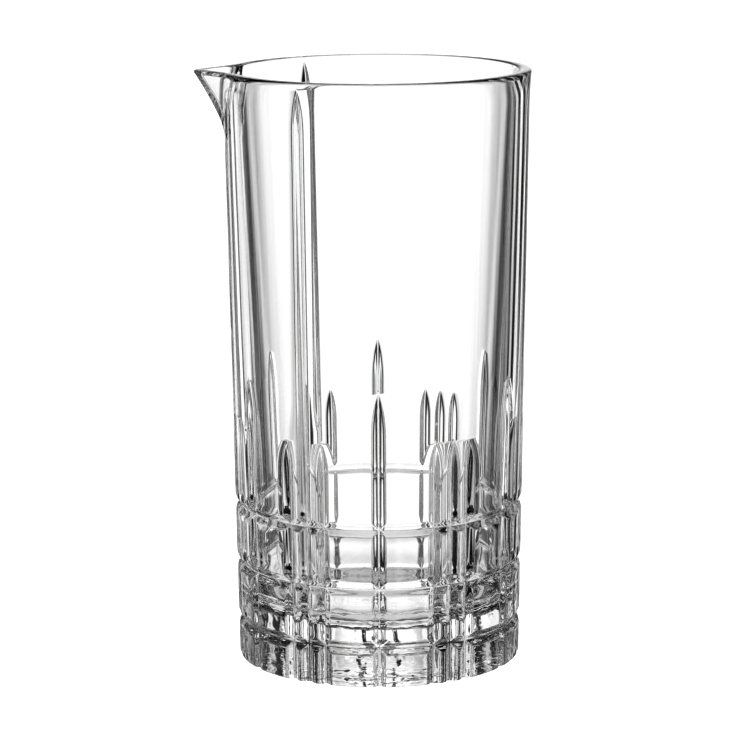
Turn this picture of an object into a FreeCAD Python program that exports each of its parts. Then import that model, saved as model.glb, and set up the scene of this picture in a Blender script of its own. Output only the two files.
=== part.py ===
"""Mixing glass: a cut crystal beaker with a thick base and a pouring spout, one piece of glass.

Frame: millimetres, +Z up, origin at the centre of the flat base, spout towards -X.
Azimuths are measured from +X towards +Y. The cut pattern is symmetric about the XZ plane.
"""
import FreeCAD, Part
import math
import os
import Sketcher
from FreeCAD import Placement, Rotation, Vector

NODE = "mixing_glass"
PARTS_DIR = "parts"

# Driving dimensions, in mm and degrees. Each becomes a cell of the sheet with its name as alias.
DIMENSIONS = {
    # outside of the plain vessel
    "height": 178.0,
    "foot_radius": 42.45,        # wall line extended down to the table
    "foot_chamfer": 1.0,
    "shoulder_height": 166.0,    # above this the wall flares out to the rim
    "shoulder_radius": 45.4,
    "rim_radius": 46.1,
    "rim_flare_curve": 147.0,
    # cavity
    "floor_height": 14.5,
    "floor_corner": 13.0,
    "wall_at_floor": 7.0,        # thickness of the wall where the cavity's floor corner ends
    "wall_at_mouth": 4.0,
    "rim_thickness": 2.6,
    "mouth_start": 171.0,        # where the cavity starts to open towards the rim
    "mouth_curve": 12.0,
    "rim_round": 0.8,
    # spout
    "spout_reach": 54.6,         # from the axis to the nose
    "spout_foot": 156.5,         # where the spout leaves the wall
    "spout_half_angle": 52.0,    # between a side of the spout and its middle plane
    "spout_nose_radius": 3.3,
    "spout_root": 34.0,          # the loft starts this far from the axis, inside the wall
    "channel_nose_radius": 1.5,
    # mitre cuts
    "cut_depth": 1.52,
    "cut_half_width": 1.8,
    "cutter_clearance": 1.5,     # how far the cutters stand proud of the wall
    "ring_low": 12.0,
    "ring_middle": 29.7,
    "ring_high": 47.6,
    "single_top": 88.5,
    "single_run_out": 13.0,
    "triple_top": 73.0,
    "triple_run_out": 9.0,
    "long_top": 176.0,
    "sector": 60.0,              # the pattern repeats six times around
    "triple_spacing": 7.65,      # angle between neighbours in a group of three
}

# Shape of the spout below its rim: share of its height, share of its overhang, thickness of its wall
SPOUT_STEPS = (
    ("foot", 0.0, 0.0, 4.8),
    ("low", 0.3, 0.13, 4.2),
    ("high", 0.65, 0.51, 3.9),
    ("rim", 1.0, 1.0, 3.7),
)


class Size:
    """A size that knows both its value and the sheet formula that gives it."""

    def __init__(self, value, formula=None):
        self.value = value
        self.formula = formula if formula else repr(float(value))

    def combined(self, other, sign, value):
        other = other if isinstance(other, Size) else Size(other)
        return Size(value(self.value, other.value), f"({self.formula} {sign} {other.formula})")

    def __add__(self, other):
        return self.combined(other, "+", lambda a, b: a + b)

    def __sub__(self, other):
        return self.combined(other, "-", lambda a, b: a - b)

    def __mul__(self, other):
        return self.combined(other, "*", lambda a, b: a * b)

    def __truediv__(self, other):
        return self.combined(other, "/", lambda a, b: a / b)

    def __neg__(self):
        return Size(-self.value, f"(-{self.formula})")


def tangent(angle):
    return Size(math.tan(math.radians(angle.value)), f"tan({angle.formula} * 1 deg)")


def cosine(angle):
    return Size(math.cos(math.radians(angle.value)), f"cos({angle.formula} * 1 deg)")


def sine(angle):
    return Size(math.sin(math.radians(angle.value)), f"sin({angle.formula} * 1 deg)")


def make_sheet(doc):
    """Write the driving dimensions to a sheet and return them as sizes."""
    sheet = doc.addObject("Spreadsheet::Sheet", "sheet")
    sizes = {}
    for row, (name, value) in enumerate(DIMENSIONS.items(), start=1):
        sheet.set(f"A{row}", name)
        sheet.set(f"B{row}", str(value))
        sheet.setAlias(f"B{row}", name)
        sizes[name] = Size(value, f"sheet.{name}")
    doc.recompute()
    return sizes


def origin_feature(body, role):
    return next(f for f in body.Origin.OriginFeatures if f.Role == role)


def new_sketch(body, name, role, lift=None, turn=None):
    """Sketch on an origin plane, lifted along its normal (lift) or turned about the vessel's axis (turn).

    The vessel's axis is the normal of XY_Plane and the second direction of XZ_Plane.
    """
    sketch = body.newObject("Sketcher::SketchObject", name)
    sketch.AttachmentSupport = (origin_feature(body, role), "")
    sketch.MapMode = "FlatFace"
    axis = Vector(0, 0, 1) if role == "XY_Plane" else Vector(0, 1, 0)
    base = Vector(0, 0, lift.value) if lift else Vector(0, 0, 0)
    sketch.AttachmentOffset = Placement(base, Rotation(axis, turn.value if turn else 0))
    if lift:
        sketch.setExpression(".AttachmentOffset.Base.z", lift.formula)
    if turn:
        sketch.setExpression(".AttachmentOffset.Rotation.Angle", turn.formula)
    return sketch


def pin(sketch, curve, end, point):
    """Hold one end of a curve at a point whose coordinates are sizes."""
    for kind, size in zip(("DistanceX", "DistanceY"), point):
        index = sketch.addConstraint(Sketcher.Constraint(kind, -1, 1, curve, end, size.value))
        sketch.setExpression(f"Constraints[{index}]", size.formula)


def arc_between(start, end, radius, centre_on_left):
    """Arc of a circle between two points, the shorter way round; arcs run anticlockwise."""
    a = Vector(start[0].value, start[1].value, 0)
    b = Vector(end[0].value, end[1].value, 0)
    chord = b - a
    left = Vector(-chord.y, chord.x, 0).normalize()
    drop = math.sqrt(radius.value ** 2 - (chord.Length / 2) ** 2)
    centre = (a + b) * 0.5 + left * (drop if centre_on_left else -drop)
    first, last = (a, b) if centre_on_left else (b, a)
    angles = [math.atan2(p.y - centre.y, p.x - centre.x) for p in (first, last)]
    circle = Part.Circle(centre, Vector(0, 0, 1), radius.value)
    return Part.ArcOfCircle(circle, angles[0], angles[1])


def draw(sketch, points, arcs=None, closed=True):
    """Draw lines through points; arcs maps a start point's index to (radius, centre_on_left)."""
    arcs = arcs or {}
    count = len(points) if closed else len(points) - 1
    ends = []
    for i in range(count):
        start = points[i]
        end = points[(i + 1) % len(points)]
        if i in arcs:
            radius, centre_on_left = arcs[i]
            curve = sketch.addGeometry(arc_between(start, end, radius, centre_on_left))
            ends.append((curve, 1, 2) if centre_on_left else (curve, 2, 1))
            index = sketch.addConstraint(Sketcher.Constraint("Radius", curve, radius.value))
            sketch.setExpression(f"Constraints[{index}]", radius.formula)
        else:
            a = Vector(start[0].value, start[1].value, 0)
            b = Vector(end[0].value, end[1].value, 0)
            curve = sketch.addGeometry(Part.LineSegment(a, b))
            ends.append((curve, 1, 2))
    for i, (curve, start_end, far_end) in enumerate(ends):
        pin(sketch, curve, start_end, points[i])
        if closed or i + 1 < count:
            after = ends[(i + 1) % len(ends)]
            sketch.addConstraint(Sketcher.Constraint("Coincident", curve, far_end, after[0], after[1]))
        else:
            pin(sketch, curve, far_end, points[i + 1])


def wall_radius(d, level):
    """Outer radius of the straight tapered wall at a level."""
    return d["foot_radius"] + (d["shoulder_radius"] - d["foot_radius"]) * level / d["shoulder_height"]


def add_outer_solid(body, d):
    """Revolve the outside of the vessel as a solid block of glass."""
    zero = Size(0)
    sketch = new_sketch(body, "outside_outline", "XZ_Plane")
    points = [
        (zero, zero),
        (d["foot_radius"] - d["foot_chamfer"], zero),
        (wall_radius(d, d["foot_chamfer"]), d["foot_chamfer"]),
        (d["shoulder_radius"], d["shoulder_height"]),
        (d["rim_radius"], d["height"] - d["rim_round"]),
        (d["rim_radius"] - d["rim_round"], d["height"]),
        (zero, d["height"]),
    ]
    draw(sketch, points, {3: (d["rim_flare_curve"], False), 4: (d["rim_round"], True)})
    outside = body.newObject("PartDesign::Revolution", "outside")
    outside.Profile = sketch
    outside.ReferenceAxis = (sketch, ["V_Axis"])
    outside.Angle = 360
    body.Tip = outside


def spout_section(body, d, name, level, nose_x, nose_radius, taken_off):
    """Plan of the spout at one level: two straight sides that meet in a round nose."""
    half_angle = d["spout_half_angle"]
    zero = Size(0)
    centre_x = nose_x - nose_radius
    touch_x = centre_x + nose_radius * sine(half_angle)
    touch_y = nose_radius * cosine(half_angle)
    root_x = d["spout_root"] - taken_off
    root_y = touch_y + (touch_x - root_x) * tangent(half_angle)
    sketch = new_sketch(body, f"{name}_section", "XY_Plane", lift=level)
    points = [
        (-root_x, -root_y),
        (-root_x, root_y),
        (-touch_x, touch_y),
        (-nose_x, zero),
        (-touch_x, -touch_y),
    ]
    draw(sketch, points, {2: (nose_radius, True), 3: (nose_radius, True)})
    return sketch


def add_spout_loft(body, d, kind, name, nose_radius, channel):
    """Loft the outside of the spout, or with channel the hollow in it."""
    sections = []
    overhang = d["spout_reach"] - wall_radius(d, d["height"])
    for step, height_share, reach_share, thickness in SPOUT_STEPS:
        level = d["spout_foot"] + (d["height"] - d["spout_foot"]) * height_share
        nose_x = wall_radius(d, level) + overhang * reach_share
        taken_off = Size(0)
        if channel:
            taken_off = Size(thickness)
        sections.append(spout_section(
            body, d, f"{name}_{step}", level, nose_x - taken_off, nose_radius, taken_off * 2))
    loft = body.newObject(kind, name)
    loft.Profile = sections[0]
    loft.Sections = sections[1:]
    loft.Ruled = False
    body.Tip = loft


def add_cavity(body, d):
    """Cut the cavity: flat floor, round corner, tapered wall and flared mouth."""
    zero = Size(0)
    corner_top = d["floor_height"] + d["floor_corner"]
    wall_low = wall_radius(d, corner_top) - d["wall_at_floor"]
    wall_high = wall_radius(d, d["mouth_start"]) - d["wall_at_mouth"]
    mouth = d["rim_radius"] - d["rim_thickness"]
    sketch = new_sketch(body, "cavity_outline", "XZ_Plane")
    points = [
        (zero, d["floor_height"]),
        (wall_low - d["floor_corner"], d["floor_height"]),
        (wall_low, corner_top),
        (wall_high, d["mouth_start"]),
        (mouth, d["height"] - d["rim_round"]),
        (mouth + d["rim_round"], d["height"]),
        (zero, d["height"]),
    ]
    arcs = {1: (d["floor_corner"], True), 3: (d["mouth_curve"], False), 4: (d["rim_round"], False)}
    draw(sketch, points, arcs)
    cavity = body.newObject("PartDesign::Groove", "cavity")
    cavity.Profile = sketch
    cavity.ReferenceAxis = (sketch, ["V_Axis"])
    cavity.Angle = 360
    body.Tip = cavity


def add_ring_cuts(body, d):
    """Three V grooves around the lower wall."""
    slope = d["cut_half_width"] / d["cut_depth"]
    spread = (d["cut_depth"] + d["cutter_clearance"]) * slope
    sketch = new_sketch(body, "ring_outline", "XZ_Plane")
    for ring in ("ring_low", "ring_middle", "ring_high"):
        level = d[ring]
        valley = wall_radius(d, level) - d["cut_depth"]
        outside = wall_radius(d, level) + d["cutter_clearance"]
        draw(sketch, [(valley, level), (outside, level - spread), (outside, level + spread)])
    rings = body.newObject("PartDesign::Groove", "ring_cuts")
    rings.Profile = sketch
    rings.ReferenceAxis = (sketch, ["V_Axis"])
    rings.Angle = 360
    body.Tip = rings


def add_upright_cuts(body, d, name, top, run_out, azimuth, count):
    """V grooves from the foot up to a pointed run-out, count times around the axis."""
    depth = d["cut_depth"]
    clearance = d["cutter_clearance"]
    start = -clearance
    # the mitre wheel's radius follows from how far the cut takes to run out
    bend = top - run_out
    wheel = (run_out * run_out + depth * depth) / (depth * 2)
    route = new_sketch(body, f"{name}_route", "XZ_Plane", turn=azimuth)
    foot = (wall_radius(d, start) - depth, start)
    turn = (wall_radius(d, bend) - depth, bend)
    # the cutter travels on past the tip of the cut, out of the glass
    far = run_out * 1.4
    lift = far * far / (wheel * 2)
    leave = (wall_radius(d, bend + far) - depth + lift, bend + far)
    draw(route, [foot, turn, leave], {1: (wheel, False)}, closed=False)
    slope = d["cut_half_width"] / depth
    reach = depth + clearance
    outline = new_sketch(body, f"{name}_outline", "XY_Plane", lift=start, turn=azimuth)
    zero = Size(0)
    draw(outline, [
        (foot[0], zero),
        (foot[0] + reach, -(reach * slope)),
        (foot[0] + reach, reach * slope),
    ])
    cut = body.newObject("PartDesign::SubtractivePipe", f"{name}_cut")
    cut.Profile = outline
    cut.Spine = (route, [])
    body.Tip = cut
    body.Document.recompute()
    ring = body.newObject("PartDesign::PolarPattern", f"{name}_cuts")
    ring.Originals = [cut]
    ring.Axis = (origin_feature(body, "Z_Axis"), [""])
    ring.Angle = 360
    ring.Occurrences = count
    body.Tip = ring


def build(doc, d):
    body = doc.addObject("PartDesign::Body", NODE)
    body.Label = NODE
    body.Placement = Placement()
    volumes = []

    def finish_step(name):
        doc.recompute()
        volumes.append((name, body.Shape.Volume))
        print(f"{name}: {body.Shape.Volume / 1000:.2f} cm3, valid {body.Shape.isValid()}")

    add_outer_solid(body, d)
    finish_step("outside")
    add_spout_loft(body, d, "PartDesign::AdditiveLoft", "spout", d["spout_nose_radius"], channel=False)
    finish_step("spout")
    add_cavity(body, d)
    finish_step("cavity")
    add_spout_loft(body, d, "PartDesign::SubtractiveLoft", "channel", d["channel_nose_radius"], channel=True)
    finish_step("channel")
    add_ring_cuts(body, d)
    finish_step("ring_cuts")
    spacing = d["triple_spacing"]
    sector = d["sector"]
    cuts = (
        ("single", "single_top", "single_run_out", sector / 2, 6),
        ("triple_middle", "triple_top", "triple_run_out", sector, 3),
        ("triple_left", "triple_top", "triple_run_out", spacing, 6),
        ("triple_right", "triple_top", "triple_run_out", sector - spacing, 6),
        ("long", "long_top", "single_run_out", None, 3),
    )
    for name, top, run_out, azimuth, count in cuts:
        add_upright_cuts(body, d, name, d[top], d[run_out], azimuth, count)
        finish_step(f"{name}_cuts")
    return body, volumes


def check(doc, body, volumes):
    """Stop unless every object is sound and every feature changed the volume the right way."""
    for item in doc.Objects:
        for word in ("Invalid", "Error"):
            if word in item.State:
                raise RuntimeError(f"{item.Label} is {item.State}")
    if body.Shape.isNull() or not body.Shape.isValid():
        raise RuntimeError("the vessel's shape is not valid")
    if len(body.Shape.Solids) != 1:
        raise RuntimeError(f"expected one solid, found {len(body.Shape.Solids)}")
    grows = {"outside", "spout"}
    before = 0.0
    for name, volume in volumes:
        if (volume > before) != (name in grows) or volume == before:
            raise RuntimeError(f"{name} changed the volume from {before:.1f} to {volume:.1f}")
        before = volume


def main():
    doc = FreeCAD.newDocument("mixing_glass_document")
    sizes = make_sheet(doc)
    body, volumes = build(doc, sizes)
    check(doc, body, volumes)
    os.makedirs(PARTS_DIR, exist_ok=True)
    body.Shape.exportStep(f"{PARTS_DIR}/{NODE}.step")
    box = body.Shape.optimalBoundingBox(True, False)
    print(f"size {box.XLength:.2f} x {box.YLength:.2f} x {box.ZLength:.2f} mm")


main()
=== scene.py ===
"""Looks of the mixing glass: polished cut crystal in bright-field studio light.

The vessel is one closed glass mesh. Its outside is a grid of columns (around) and levels (up) whose lines
follow the cuts, so every facet, shoulder and crossing of the cut pattern is real geometry. Metres, +Z up,
origin at the centre of the base, spout towards -X.
"""

import math

import bpy
import numpy as np
from mathutils import Matrix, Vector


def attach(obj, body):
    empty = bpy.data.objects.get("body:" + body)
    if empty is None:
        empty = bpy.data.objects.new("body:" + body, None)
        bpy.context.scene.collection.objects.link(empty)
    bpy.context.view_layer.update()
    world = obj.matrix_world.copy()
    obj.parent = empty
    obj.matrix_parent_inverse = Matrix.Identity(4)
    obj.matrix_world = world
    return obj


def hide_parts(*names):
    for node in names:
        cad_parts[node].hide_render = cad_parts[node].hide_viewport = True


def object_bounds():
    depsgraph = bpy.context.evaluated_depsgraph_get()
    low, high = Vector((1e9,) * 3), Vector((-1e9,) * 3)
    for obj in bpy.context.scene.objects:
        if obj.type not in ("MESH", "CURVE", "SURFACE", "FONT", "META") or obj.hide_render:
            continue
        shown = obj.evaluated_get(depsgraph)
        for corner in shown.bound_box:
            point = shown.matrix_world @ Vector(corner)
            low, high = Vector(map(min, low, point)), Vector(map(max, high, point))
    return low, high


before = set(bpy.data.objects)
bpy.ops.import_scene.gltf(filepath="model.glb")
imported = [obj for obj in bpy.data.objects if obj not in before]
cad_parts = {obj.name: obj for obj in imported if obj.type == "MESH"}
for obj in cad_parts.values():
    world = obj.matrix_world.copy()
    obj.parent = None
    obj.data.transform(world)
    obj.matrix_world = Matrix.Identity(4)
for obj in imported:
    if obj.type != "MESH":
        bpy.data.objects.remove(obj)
cad_low, cad_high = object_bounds()

MM = 0.001
NODE = "mixing_glass"

# Driving sizes in mm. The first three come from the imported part's own box.
HEIGHT = cad_high.z / MM
SPOUT_REACH = -cad_low.x / MM
RIM_RADIUS = cad_high.y / MM
FOOT_RADIUS = 42.45
FOOT_ROUND = 1.1
SHOULDER_HEIGHT = 166.0
SHOULDER_RADIUS = 45.4
RIM_ROUND = 0.8
# Inside of the rim: height of its round lip, and the lip's share of the rim's thickness
LIP_HEIGHT = 0.6
LIP_SHARE = 0.25
MOUTH_DEPTH = 7.0
MOUTH_FLARE = 0.4
WALL_AT_RIM = 3.9
WALL_AT_FLOOR = 7.0
FLOOR_HEIGHT = 14.5
FLOOR_CORNER = 13.0

SPOUT_FOOT = 156.0
SPOUT_HALF_ANGLE = math.radians(52.0)
SPOUT_NOSE_RADIUS = 3.3
CHANNEL_NOSE_RADIUS = 1.5
SPOUT_LIP = 3.7
SPOUT_ROOT_WALL = 4.6
SPOUT_FADE = 1.5
SPOUT_BLEND = 1.5
CHANNEL_BLEND = 0.6
# Exponents of how the spout leans out, and how its glass thins, from its foot to the rim
SPOUT_LEAN = 1.22
SPOUT_THINNING = 1.7
# The spout stays within this angle of its middle
SPOUT_RANGE = math.radians(40.0)

CUT_DEPTH = 1.52
CUT_SLOPE = math.tan(math.radians(40.0))
SHOULDER_WIDTH = 0.65
VALLEY_BLEND = 0.12
TIP_SHARE = 0.1
TIP_FLATTENING = 0.2
RINGS = (12.0, 29.7, 47.6)
SINGLE_TOP, SINGLE_RUN_OUT = 88.5, 13.0
TRIPLE_TOP, TRIPLE_RUN_OUT = 73.0, 9.0
LONG_TOP = 176.0
SECTOR = 60.0
TRIPLE_SPACING = 7.65

# Grid lines across half a cut: shares of the facet's straight part, then shares of the shoulder's width
FACET_LINES = (0.0, 0.35, 1.0)
SHOULDER_LINES = (-0.5, 0.0, 0.35, 0.7, 1.0)
# Above its tip a cut's columns spread out to this share of a full cut, over this height
SPREAD_SHARE = 0.6
SPREAD_HEIGHT = 12.0
# Columns between two cuts: how wide they are, and how many there are in the wide gaps under the spout
COLUMN_WIDTH = 1.7
WIDE_GAP = 5.0
SPOUT_COLUMNS = 14
# Rows of the round parts and of the cavity's two stretches
FOOT_ROWS = 5
RIM_ROWS = 5
LIP_ROWS = 9
MOUTH_ROWS = 20
CAVITY_ROWS = 14
CORNER_ROWS = 9
# Rings of the two flat discs, as shares of their radius
FLOOR_RINGS = (0.75, 0.5, 0.25, 0.08)
UNDERSIDE_RINGS = (0.1, 0.3, 0.6, 0.85, 0.97)
# How far below its foot the spout's own rows begin
SPOUT_MARGIN = 2.0
# Levels closer than this are the same level
SAME_LEVEL = 0.001


def upright_cuts():
    """(azimuth in degrees, top, run-out) of the 24 upright cuts, by azimuth."""
    cuts = []
    for k in range(6):
        middle = SECTOR * k
        cuts.append((middle + SECTOR / 2, SINGLE_TOP, SINGLE_RUN_OUT))
        cuts.append((middle - TRIPLE_SPACING, TRIPLE_TOP, TRIPLE_RUN_OUT))
        cuts.append((middle + TRIPLE_SPACING, TRIPLE_TOP, TRIPLE_RUN_OUT))
        if k % 2 == 0:
            cuts.append((middle, LONG_TOP, SINGLE_RUN_OUT))
        else:
            cuts.append((middle, TRIPLE_TOP, TRIPLE_RUN_OUT))
    return sorted(cuts)


def soft_max(a, b, blend):
    """Larger of two lengths, rounded over where they are closer than the blend."""
    gap = np.clip(blend - np.abs(a - b), 0.0, None)
    return np.maximum(a, b) + gap * gap / (4.0 * np.maximum(blend, 1e-9))


def smooth_step(t):
    """Smooth climb from 0 to 1."""
    t = np.clip(t, 0.0, 1.0)
    return t * t * (3.0 - 2.0 * t)


def depth_at(z, top, run_out):
    """Depth of an upright cut's valley at a level; negative once the wheel has left the glass."""
    bend = top - run_out
    wheel = (run_out ** 2 + CUT_DEPTH ** 2) / (2.0 * CUT_DEPTH)
    return CUT_DEPTH - np.clip(z - bend, 0.0, None) ** 2 / (2.0 * wheel)


def facet_slope(depth):
    """Slope of a cut's facets: shallower towards the tip, where polishing has worn them most."""
    return CUT_SLOPE * np.clip(np.asarray(depth) / CUT_DEPTH, TIP_SHARE, 1.0) ** TIP_FLATTENING


def shoulder_width(depth):
    """Half the width of the rounding along a cut's edges, narrower towards the tip."""
    return SHOULDER_WIDTH * np.sqrt(np.clip(np.asarray(depth) / CUT_DEPTH, TIP_SHARE, 1.0))


def cut_profile(offset, depth):
    """Depth of a mitre cut at a distance from its valley line, with polished shoulders."""
    slope = facet_slope(depth)
    away = np.sqrt(offset ** 2 + VALLEY_BLEND ** 2) - VALLEY_BLEND
    return soft_max(depth - slope * away, np.zeros_like(away + depth), slope * shoulder_width(depth))


def cut_lines(depth):
    """Distances of the grid lines across half a cut from its valley, for each depth in an array."""
    edge = np.maximum(depth, TIP_SHARE * CUT_DEPTH) / facet_slope(depth)
    outward = shoulder_width(depth)
    inward = np.minimum(outward, 0.5 * edge)
    lines = [(edge - inward) * line for line in FACET_LINES]
    lines += [edge + (inward if line < 0.0 else outward) * line for line in SHOULDER_LINES]
    return np.stack(lines, axis=-1)


def wall_radius(z):
    """Outer radius of the plain wall: a straight taper that flares a little above the shoulder."""
    taper = FOOT_RADIUS + (SHOULDER_RADIUS - FOOT_RADIUS) * z / SHOULDER_HEIGHT
    taper_at_top = FOOT_RADIUS + (SHOULDER_RADIUS - FOOT_RADIUS) * HEIGHT / SHOULDER_HEIGHT
    climb = np.clip((z - SHOULDER_HEIGHT) / (HEIGHT - SHOULDER_HEIGHT), 0.0, None)
    return taper + (RIM_RADIUS - taper_at_top) * climb ** 2


def wall_thickness(z):
    """Thickness of the plain wall, which thins steadily from the cavity's floor up to the rim."""
    low = FLOOR_HEIGHT + FLOOR_CORNER
    return WALL_AT_FLOOR + (WALL_AT_RIM - WALL_AT_FLOOR) * (z - low) / (HEIGHT - low)


def inner_radius(z):
    """Radius of the cavity above its floor corner; it opens a little more over its last few millimetres."""
    climb = np.clip((z - HEIGHT) / MOUTH_DEPTH + 1.0, 0.0, None)
    return wall_radius(z) - wall_thickness(z) + MOUTH_FLARE * climb ** 2


def wedge_radius(azimuth, reach, nose):
    """Polar radius of the spout's plan: two straight sides that meet in a round nose."""
    beta = np.abs(np.mod(azimuth, 2.0 * math.pi) - math.pi)
    centre = reach - nose
    side = (centre * math.sin(SPOUT_HALF_ANGLE) + nose) / np.sin(np.clip(SPOUT_HALF_ANGLE + beta, 0.1, 3.0))
    touch = np.arctan2(nose * math.cos(SPOUT_HALF_ANGLE), centre + nose * math.sin(SPOUT_HALF_ANGLE))
    inside = np.clip(nose ** 2 - (centre * np.sin(beta)) ** 2, 0.0, None)
    cap = centre * np.cos(beta) + np.sqrt(inside)
    wedge = np.where(beta < touch, cap, side)
    return np.where(beta < SPOUT_RANGE, wedge, 0.0)


def spout_reach(z):
    """How far the spout's nose stands from the axis at a level; inside the wall below the spout's foot."""
    climb = np.clip((z - SPOUT_FOOT) / (HEIGHT - SPOUT_FOOT), 0.0, 1.0)
    overhang = SPOUT_REACH - RIM_RADIUS + SPOUT_FADE
    return wall_radius(z) - SPOUT_FADE + overhang * climb ** SPOUT_LEAN


def spout_wall(z):
    """Thickness of the glass in the spout at a level."""
    climb = np.clip((z - SPOUT_FOOT) / (HEIGHT - SPOUT_FOOT), 0.0, 1.0)
    return SPOUT_LIP + (SPOUT_ROOT_WALL - SPOUT_LIP) * (1.0 - climb) ** SPOUT_THINNING


def outer_radius(azimuth, z):
    """Outer radius with ring cuts, upright cuts, spout and rounded foot."""
    wall = wall_radius(z)
    depth = np.zeros_like(azimuth)
    for ring in RINGS:
        depth = np.maximum(depth, cut_profile(z - ring, np.full_like(z, CUT_DEPTH)))
    for degrees, top, run_out in upright_cuts():
        swing = np.mod(azimuth - math.radians(degrees) + math.pi, 2.0 * math.pi) - math.pi
        depth = np.maximum(depth, cut_profile(swing * wall, depth_at(z, top, run_out)))
    foot = np.clip(FOOT_ROUND - z, 0.0, FOOT_ROUND)
    inset = FOOT_ROUND - np.sqrt(FOOT_ROUND ** 2 - foot ** 2)
    spout = wedge_radius(azimuth, spout_reach(z), SPOUT_NOSE_RADIUS)
    return soft_max(wall - depth - inset, spout, SPOUT_BLEND)


def cavity_radius(azimuth, z):
    """Radius of the cavity with the spout's channel, above the floor corner."""
    channel = wedge_radius(azimuth, spout_reach(z) - spout_wall(z), CHANNEL_NOSE_RADIUS)
    return soft_max(inner_radius(z), channel, CHANNEL_BLEND)


def levels():
    """Levels of the outside, in mm: close where something bends, wide on plain wall."""
    found = set(np.round(FOOT_ROUND * (1.0 - np.cos(np.linspace(0.0, math.pi / 2, FOOT_ROWS))), 4))
    for ring in RINGS:
        for line in cut_lines(CUT_DEPTH):
            found.update((round(ring - line, 4), round(ring + line, 4)))
    edge = cut_lines(CUT_DEPTH)[-1]
    past_triples = TRIPLE_TOP + 1.0
    past_singles = SINGLE_TOP + 1.0
    gaps = (
        (FOOT_ROUND, RINGS[0] - edge, 5),
        (RINGS[0] + edge, RINGS[1] - edge, 7),
        (RINGS[1] + edge, RINGS[2] - edge, 7),
        (RINGS[2] + edge, TRIPLE_TOP - TRIPLE_RUN_OUT, 7),
        (TRIPLE_TOP - TRIPLE_RUN_OUT, past_triples, 14),
        (past_triples, past_singles, 18),
        (past_singles, SPOUT_FOOT - SPOUT_MARGIN, 12),
        (SPOUT_FOOT - SPOUT_MARGIN, HEIGHT - RIM_ROUND, 26),
    )
    for low, high, count in gaps:
        found.update(np.round(np.linspace(low, high, count + 1), 4))
    return np.array(sorted(found))


def column_azimuths(z_levels):
    """Azimuth of every column at every level, and for each column its line number within its cut, or None."""
    half_count = len(FACET_LINES) + len(SHOULDER_LINES)
    blocks = []
    numbers = []
    edges = []
    for degrees, top, run_out in upright_cuts():
        spread = (SPREAD_SHARE - TIP_SHARE) * smooth_step((z_levels - top) / SPREAD_HEIGHT)
        half = cut_lines(np.clip(depth_at(z_levels, top, run_out), 0.0, None) + CUT_DEPTH * spread)
        turn = np.concatenate((-half[:, :0:-1], half), axis=1) / wall_radius(z_levels)[:, None]
        edges.append(math.radians(degrees) + turn)
    for index, block in enumerate(edges):
        after = edges[(index + 1) % len(edges)]
        start = block[:, -1]
        end = after[:, 0] + (2.0 * math.pi if index + 1 == len(edges) else 0.0)
        blocks.append(block)
        numbers.extend(range(-(half_count - 1), half_count))
        width = (end[0] - start[0]) * FOOT_RADIUS
        middle = math.degrees(0.5 * (start[0] + end[0]))
        count = max(1, round(width / COLUMN_WIDTH))
        if width > WIDE_GAP and abs(middle - 180.0) < SECTOR / 2:
            count = SPOUT_COLUMNS
        for step in range(1, count):
            blocks.append((start + (end - start) * step / count)[:, None])
            numbers.append(None)
    return np.concatenate(blocks, axis=1), numbers


def ring_numbers(z_levels):
    """For each level its line number within its ring cut, or None."""
    numbers = []
    for z in z_levels:
        number = None
        for ring in RINGS:
            for index, line in enumerate(cut_lines(CUT_DEPTH)):
                if abs(z - ring - line) < SAME_LEVEL:
                    number = index
                elif abs(ring - z - line) < SAME_LEVEL:
                    number = -index
        numbers.append(number)
    return numbers


def crease_direction(column, level):
    """+1 or -1 where a cell lies on the diagonal crease of a crossing, else 0."""
    if None in column or None in level:
        return 0
    if abs(column[0]) == abs(level[0]) and abs(column[1]) == abs(level[1]):
        return 1 if (column[0] + column[1]) * (level[0] + level[1]) > 0 else -1
    return 0


def uneven_slope(before, here, after):
    """Second-order slope of a curve at unevenly spaced points."""
    back = np.linalg.norm(here - before, axis=-1, keepdims=True) + 1e-12
    ahead = np.linalg.norm(after - here, axis=-1, keepdims=True) + 1e-12
    return ((after - here) * back / ahead + (here - before) * ahead / back) / (back + ahead)


def grid_normals(points):
    """Outward normals of a grid of points, whose rows go from the underside over the rim to the floor."""
    around = uneven_slope(np.roll(points, 1, axis=1), points, np.roll(points, -1, axis=1))
    along = np.empty_like(points)
    along[1:-1] = uneven_slope(points[:-2], points[1:-1], points[2:])
    along[0] = points[1] - points[0]
    along[-1] = points[-1] - points[-2]
    normals = np.cross(around, along)
    return normals / np.linalg.norm(normals, axis=-1, keepdims=True)


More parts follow.
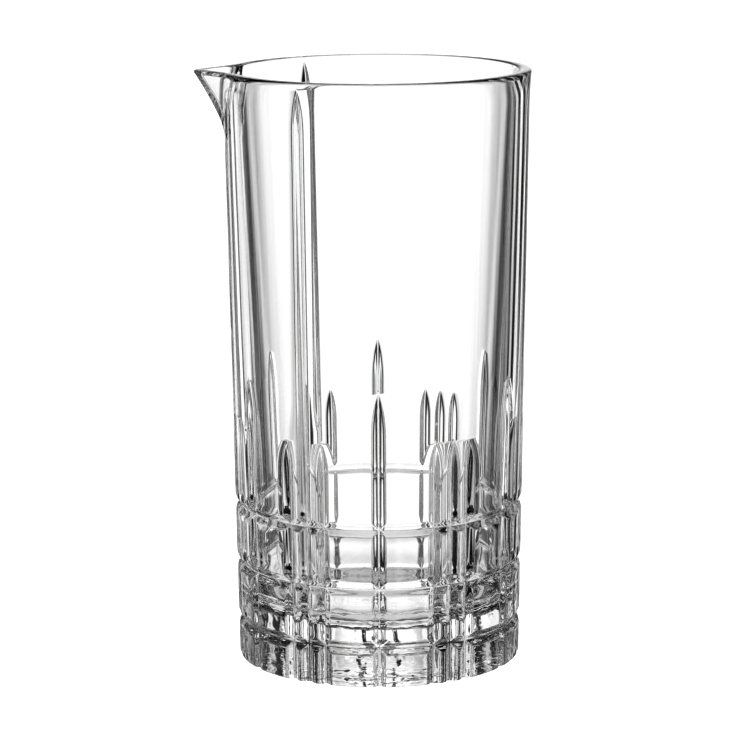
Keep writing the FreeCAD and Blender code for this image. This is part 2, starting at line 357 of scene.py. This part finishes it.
def glass_mesh():
    """Build the whole vessel as one closed mesh, in metres."""
    outside_levels = levels()
    azimuths, column_numbers = column_azimuths(outside_levels)
    level_numbers = ring_numbers(outside_levels)
    z_grid = np.repeat(outside_levels[:, None], azimuths.shape[1], axis=1)
    outer = outer_radius(azimuths, z_grid)
    rows = list(zip(azimuths, outer, z_grid))

    # rim: round outside, flat on top, and a smaller round lip inside
    top_azimuth = azimuths[-1]
    lip_outer = outer[-1]
    lip = LIP_SHARE * (lip_outer - cavity_radius(top_azimuth, np.full_like(lip_outer, HEIGHT)))
    for turn in np.linspace(0.0, math.pi / 2, RIM_ROWS)[1:]:
        z_row = np.full_like(lip_outer, HEIGHT - RIM_ROUND * (1.0 - math.sin(turn)))
        rows.append((top_azimuth, lip_outer - RIM_ROUND * (1.0 - math.cos(turn)), z_row))
    for turn in np.linspace(0.0, math.pi / 2, LIP_ROWS):
        z_row = np.full_like(lip, HEIGHT - LIP_HEIGHT * (1.0 - math.cos(turn)))
        rows.append((top_azimuth, cavity_radius(top_azimuth, z_row) + lip * (1.0 - math.sin(turn)), z_row))

    # cavity: down the wall, round the corner, in to the middle of the floor
    corner_top = FLOOR_HEIGHT + FLOOR_CORNER
    below_spout = SPOUT_FOOT - SPOUT_MARGIN
    mouth = np.linspace(HEIGHT - LIP_HEIGHT, below_spout, MOUTH_ROWS)[1:]
    for z in np.concatenate((mouth, np.linspace(below_spout, corner_top, CAVITY_ROWS)[1:])):
        z_row = np.full_like(top_azimuth, z)
        rows.append((top_azimuth, cavity_radius(top_azimuth, z_row), z_row))
    corner_centre = inner_radius(np.array(corner_top)) - FLOOR_CORNER
    for turn in np.linspace(0.0, math.pi / 2, CORNER_ROWS)[1:]:
        radius = np.full_like(top_azimuth, corner_centre + FLOOR_CORNER * math.cos(turn))
        rows.append((top_azimuth, radius, np.full_like(radius, corner_top - FLOOR_CORNER * math.sin(turn))))
    for share in FLOOR_RINGS:
        radius = np.full_like(top_azimuth, corner_centre * share)
        rows.append((top_azimuth, radius, np.full_like(radius, FLOOR_HEIGHT)))

    # underside, from near the middle out to the foot's edge
    underside = [(azimuths[0], outer[0] * share, np.zeros_like(azimuths[0])) for share in UNDERSIDE_RINGS]
    rows = underside + rows

    points = np.array([
        np.stack((radius * np.cos(azimuth), radius * np.sin(azimuth), z), axis=1)
        for azimuth, radius, z in rows])
    normals = grid_normals(points).reshape(-1, 3)
    count = azimuths.shape[1]
    bottom_centre = len(rows) * count
    floor_centre = bottom_centre + 1
    vertices = np.concatenate((points.reshape(-1, 3), [[0, 0, 0], [0, 0, FLOOR_HEIGHT]])) * MM
    normals = np.concatenate((normals, [[0, 0, -1], [0, 0, 1]]))

    faces = []
    first_outside = len(underside)
    last_outside = first_outside + len(outside_levels) - 1
    for row in range(len(rows) - 1):
        on_outside = first_outside <= row < last_outside
        for column in range(count):
            after = (column + 1) % count
            a, b = row * count + column, row * count + after
            c, d = (row + 1) * count + after, (row + 1) * count + column
            direction = 0
            if on_outside:
                level = row - first_outside
                direction = crease_direction(
                    (column_numbers[column], column_numbers[after]),
                    (level_numbers[level], level_numbers[level + 1]))
            if direction > 0:
                faces.extend(((a, b, c), (a, c, d)))
            elif direction < 0:
                faces.extend(((a, b, d), (b, c, d)))
            else:
                faces.append((a, b, c, d))
    for column in range(count):
        after = (column + 1) % count
        faces.append((bottom_centre, after, column))
        last = (len(rows) - 1) * count
        faces.append((floor_centre, last + column, last + after))
    mesh = bpy.data.meshes.new("cut_crystal")
    mesh.from_pydata(vertices.tolist(), [], faces)
    mesh.shade_smooth()
    mesh.update()
    mesh.normals_split_custom_set_from_vertices(normals.tolist())
    return mesh


def math_node(tree, operation, first, second=None, third=None, clamp=False):
    """A Math node on numbers or sockets; returns its output socket."""
    node = tree.nodes.new("ShaderNodeMath")
    node.operation = operation
    node.use_clamp = clamp
    for socket, value in zip(node.inputs, (first, second, third)):
        if value is None:
            continue
        if isinstance(value, (int, float)):
            socket.default_value = value
        else:
            tree.links.new(value, socket)
    return node.outputs[0]


GLASS_IOR = 1.52
# Unevenness of the surfaces, in metres: faint on the wall, stronger in the thick base and fading out above it
WALL_RIPPLE = 0.00002
WALL_RIPPLE_SCALE = 45.0
BASE_RIPPLE = 0.0002
BASE_RIPPLE_SCALE = 260.0
BASE_RIPPLE_TOP = 0.024
BASE_RIPPLE_FADE = 0.006


def clear_glass():
    """Polished crystal: one Principled glass, its surface a little uneven as in fire-polished glass."""
    material = bpy.data.materials.new("clear_glass")
    material.use_nodes = True
    tree = material.node_tree
    nodes = tree.nodes
    links = tree.links
    shader = nodes["Principled BSDF"]
    shader.inputs["Base Color"].default_value = (1.0, 1.0, 1.0, 1.0)
    shader.inputs["Transmission Weight"].default_value = 1.0
    shader.inputs["IOR"].default_value = GLASS_IOR
    shader.inputs["Roughness"].default_value = 0.0
    place = nodes.new("ShaderNodeTexCoord")
    split = nodes.new("ShaderNodeSeparateXYZ")
    links.new(place.outputs["Object"], split.inputs[0])
    low = math_node(
        tree, "MULTIPLY_ADD", split.outputs["Z"], -1.0 / BASE_RIPPLE_FADE, BASE_RIPPLE_TOP / BASE_RIPPLE_FADE,
        clamp=True)
    heights = []
    for scale, depth in ((WALL_RIPPLE_SCALE, WALL_RIPPLE), (BASE_RIPPLE_SCALE, BASE_RIPPLE)):
        wave = nodes.new("ShaderNodeTexNoise")
        wave.inputs["Scale"].default_value = scale
        wave.inputs["Detail"].default_value = 1.0
        links.new(place.outputs["Object"], wave.inputs["Vector"])
        heights.append(math_node(tree, "MULTIPLY", wave.outputs["Fac"], depth))
    base = math_node(tree, "MULTIPLY", heights[1], low)
    bump = nodes.new("ShaderNodeBump")
    bump.inputs["Strength"].default_value = 1.0
    bump.inputs["Distance"].default_value = 1.0
    links.new(math_node(tree, "ADD", heights[0], base), bump.inputs["Height"])
    links.new(bump.outputs["Normal"], shader.inputs["Normal"])
    return material


# The table top in metres, a hair below the glass, and how much it glows
TABLE_HALF = 3.0
TABLE_DROP = 0.0002
TABLE_GLOW = 0.95


def studio_floor():
    """A pale table top that runs out of view. The glass neither reflects it nor shows it."""
    corners = [(TABLE_HALF * x, TABLE_HALF * y, 0) for x, y in ((-1, -1), (1, -1), (1, 1), (-1, 1))]
    mesh = bpy.data.meshes.new("floor")
    mesh.from_pydata(corners, [], [(0, 1, 2, 3)])
    floor = bpy.data.objects.new("floor", mesh)
    floor.location.z = -TABLE_DROP
    bpy.context.collection.objects.link(floor)
    material = bpy.data.materials.new("pale_table")
    material.use_nodes = True
    shader = material.node_tree.nodes["Principled BSDF"]
    shader.inputs["Base Color"].default_value = (0.9, 0.9, 0.9, 1.0)
    shader.inputs["Roughness"].default_value = 0.9
    shader.inputs["Emission Color"].default_value = (1.0, 1.0, 1.0, 1.0)
    shader.inputs["Emission Strength"].default_value = TABLE_GLOW
    mesh.materials.append(material)
    floor.visible_transmission = False
    floor.visible_glossy = False


def ramp_node(tree, angle, stops, shift=0.0):
    """Light along an angle, from (degrees, shade in the finished picture) stops that span 180 degrees."""
    node = tree.nodes.new("ShaderNodeValToRGB")
    ramp = node.color_ramp
    ramp.interpolation = "LINEAR"
    while len(ramp.elements) < len(stops):
        ramp.elements.new(0.5)
    for element, (at, shade) in zip(ramp.elements, stops):
        light = shade ** SHADE_POWER
        element.position = (at + shift) / 180.0
        element.color = (light, light, light, 1.0)
    place = math_node(tree, "MULTIPLY_ADD", angle, 1.0 / math.pi, shift / 180.0, clamp=True)
    tree.links.new(place, node.inputs["Fac"])
    return node.outputs["Color"]


def mix_colours(tree, blend_type, first, second):
    """A full blend of two colour sockets; returns its output socket."""
    node = tree.nodes.new("ShaderNodeMix")
    node.data_type = "RGBA"
    node.blend_type = blend_type
    node.inputs["Factor"].default_value = 1.0
    # a Mix node keeps its two colours at 6 and 7, and the mixed colour at 2
    tree.links.new(first, node.inputs[6])
    tree.links.new(second, node.inputs[7])
    return node.outputs[2]


# The film curve, and the power that turns a shade in the finished picture into light
FILM_EXPOSURE = 0.3
FILM_GAMMA = 0.6
SHADE_POWER = 2.2 * FILM_GAMMA
LIGHT_GAIN = 0.975
# Light bounces, enough to see through both walls and the base
BOUNCES = 32
GLOSSY_BOUNCES = 16

# The studio. Angles around the glass are in degrees from the middle of a wall to either side of it. The fade and
# the left panel are (degrees, shade) stops. Near and far panels are (from, to, shade), with dark gaps between.
WALL_FADE = (
    (0.0, 1.0), (5.0, 1.0), (9.0, 0.9), (13.0, 0.65), (14.0, 0.8), (15.0, 0.8), (18.0, 0.15), (20.0, 0.0),
)
NEAR_PANELS = ((24.5, 33.0, 1.0), (36.5, 43.0, 0.8), (44.5, 50.0, 0.5))
FAR_PANELS = ((56.0, 67.0, 0.6), (77.0, 99.0, 0.9), (112.0, 128.0, 0.5), (140.0, 169.0, 0.5))
LEFT_PANEL = ((0.0, 0.95), (6.5, 0.95), (8.0, 0.0), (180.0, 0.0))
PANEL_SOFTNESS = 2.0
GAP_SHADE = 0.03

# Shades over the height, from -90 straight down to 90 straight up, and around the glass for the bright table
PANEL_HEIGHT = (
    (-90.0, 0.65), (-45.0, 0.7), (-20.0, 1.0), (5.0, 1.0), (15.0, 0.8), (30.0, 0.7), (34.0, 0.1),
    (40.0, 0.05), (44.0, 0.6), (50.0, 0.6), (54.0, 0.05), (90.0, 0.05),
)
TABLE_HEIGHT = ((-90.0, 0.8), (-55.0, 0.8), (-48.0, 0.0), (90.0, 0.0))
TABLE_AROUND = (
    (0.0, 0.2), (12.0, 0.3), (16.0, 1.0), (40.0, 1.0), (50.0, 0.2), (90.0, 0.3), (110.0, 0.9), (180.0, 0.9),
)


def panel_stops(panels):
    """(degrees, shade) stops of panels with soft edges."""
    stops = []
    for start, end, shade in panels:
        stops.append((start, GAP_SHADE))
        stops.append((start + PANEL_SOFTNESS, shade))
        stops.append((end - PANEL_SOFTNESS, shade))
        stops.append((end, GAP_SHADE))
    return stops


BACK_WALL = (*WALL_FADE, *panel_stops(NEAR_PANELS), (180.0, 0.0))
SIDES = ((0.0, 0.0), *panel_stops(FAR_PANELS), (180.0, 0.1))
OTHER_WALL = (*WALL_FADE, *panel_stops(((24.0, 32.0, 1.0),)), (180.0, 0.0))

# Further walls: the direction of the middle, the shades away from it, and the shades over its height
OTHER_WALLS = (
    (-42.0, LEFT_PANEL, ((-90.0, 0.0), (-17.0, 0.0), (-15.0, 0.95), (2.0, 0.95), (6.0, 0.0), (90.0, 0.0))),
    (-45.0, OTHER_WALL, ((-90.0, 0.0), (-60.0, 0.0), (-50.0, 0.7), (-20.0, 0.85), (-17.0, 0.0), (90.0, 0.0))),
    (135.0, OTHER_WALL, ((-90.0, 0.0), (-45.0, 0.0), (-35.0, 0.85), (10.0, 0.85), (20.0, 0.0), (90.0, 0.0))),
    (-90.0, OTHER_WALL, ((-90.0, 0.0), (-30.0, 0.0), (-20.0, 0.85), (10.0, 0.85), (20.0, 0.0), (90.0, 0.0))),
)


def studio_light():
    """Bright-field light: a wide white wall behind the glass, with dark gaps and narrower panels beside it.

    The background itself is plain white. The panels are what the glass reflects and refracts.
    """
    world = bpy.data.worlds.new("studio")
    bpy.context.scene.world = world
    world.use_nodes = True
    tree = world.node_tree
    tree.nodes.clear()
    place = tree.nodes.new("ShaderNodeTexCoord")
    split = tree.nodes.new("ShaderNodeSeparateXYZ")
    tree.links.new(place.outputs["Generated"], split.inputs[0])
    x, y, z = split.outputs
    azimuth = math_node(tree, "ARCTAN2", x, y)
    sideways = math_node(tree, "ABSOLUTE", azimuth)
    elevation = math_node(tree, "ARCSINE", z)

    panels = mix_colours(
        tree, "LIGHTEN", ramp_node(tree, sideways, BACK_WALL), ramp_node(tree, sideways, SIDES))
    panels = mix_colours(tree, "MULTIPLY", panels, ramp_node(tree, elevation, PANEL_HEIGHT, 90.0))
    table = mix_colours(
        tree, "MULTIPLY", ramp_node(tree, elevation, TABLE_HEIGHT, 90.0),
        ramp_node(tree, sideways, TABLE_AROUND))
    light = mix_colours(tree, "LIGHTEN", panels, table)
    for middle, edge, wall_height in OTHER_WALLS:
        swing = math_node(tree, "SUBTRACT", azimuth, math.radians(middle))
        away = math_node(tree, "ABSOLUTE", math_node(tree, "WRAP", swing, math.pi, -math.pi))
        wall = mix_colours(
            tree, "MULTIPLY", ramp_node(tree, away, edge), ramp_node(tree, elevation, wall_height, 90.0))
        light = mix_colours(tree, "LIGHTEN", light, wall)

    studio = tree.nodes.new("ShaderNodeBackground")
    studio.inputs["Strength"].default_value = LIGHT_GAIN
    tree.links.new(light, studio.inputs["Color"])
    backdrop = tree.nodes.new("ShaderNodeBackground")
    backdrop.inputs["Color"].default_value = (1.0, 1.0, 1.0, 1.0)
    path = tree.nodes.new("ShaderNodeLightPath")
    choose = tree.nodes.new("ShaderNodeMixShader")
    tree.links.new(path.outputs["Is Camera Ray"], choose.inputs[0])
    tree.links.new(studio.outputs[0], choose.inputs[1])
    tree.links.new(backdrop.outputs[0], choose.inputs[2])
    output = tree.nodes.new("ShaderNodeOutputWorld")
    tree.links.new(choose.outputs[0], output.inputs["Surface"])


# The camera, in metres, degrees and lens mm
CAMERA_PLACE = (-0.0009, -0.994, 0.2787)
CAMERA_TILT = math.radians(11.0)
CAMERA_ROLL = math.radians(-0.3)
SENSOR_WIDTH = 36.0
FOCAL_LENGTH = 161.4
VIEW_LIMIT = 100.0


def studio_camera():
    """Long lens in front of the glass, a little above it."""
    data = bpy.data.cameras.new("camera")
    data.sensor_width = SENSOR_WIDTH
    data.lens = FOCAL_LENGTH
    data.clip_end = VIEW_LIMIT
    camera = bpy.data.objects.new("camera", data)
    bpy.context.collection.objects.link(camera)
    look = Matrix.Rotation(math.pi / 2 - CAMERA_TILT, 4, "X") @ Matrix.Rotation(CAMERA_ROLL, 4, "Z")
    camera.matrix_world = Matrix.Translation(CAMERA_PLACE) @ look
    bpy.context.scene.camera = camera


def studio_picture():
    """Colour and light-bounce settings that clear glass needs."""
    scene = bpy.context.scene
    scene.view_settings.view_transform = "Standard"
    scene.view_settings.exposure = FILM_EXPOSURE
    scene.view_settings.gamma = FILM_GAMMA
    scene.cycles.max_bounces = BOUNCES
    scene.cycles.transmission_bounces = BOUNCES
    scene.cycles.glossy_bounces = GLOSSY_BOUNCES
    scene.cycles.caustics_reflective = True
    scene.cycles.caustics_refractive = True


glass = bpy.data.objects.new("mixing_glass_crystal", glass_mesh())
bpy.context.collection.objects.link(glass)
glass.data.materials.append(clear_glass())
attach(glass, "root")
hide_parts(NODE)

studio_floor()
studio_light()
studio_camera()
studio_picture()
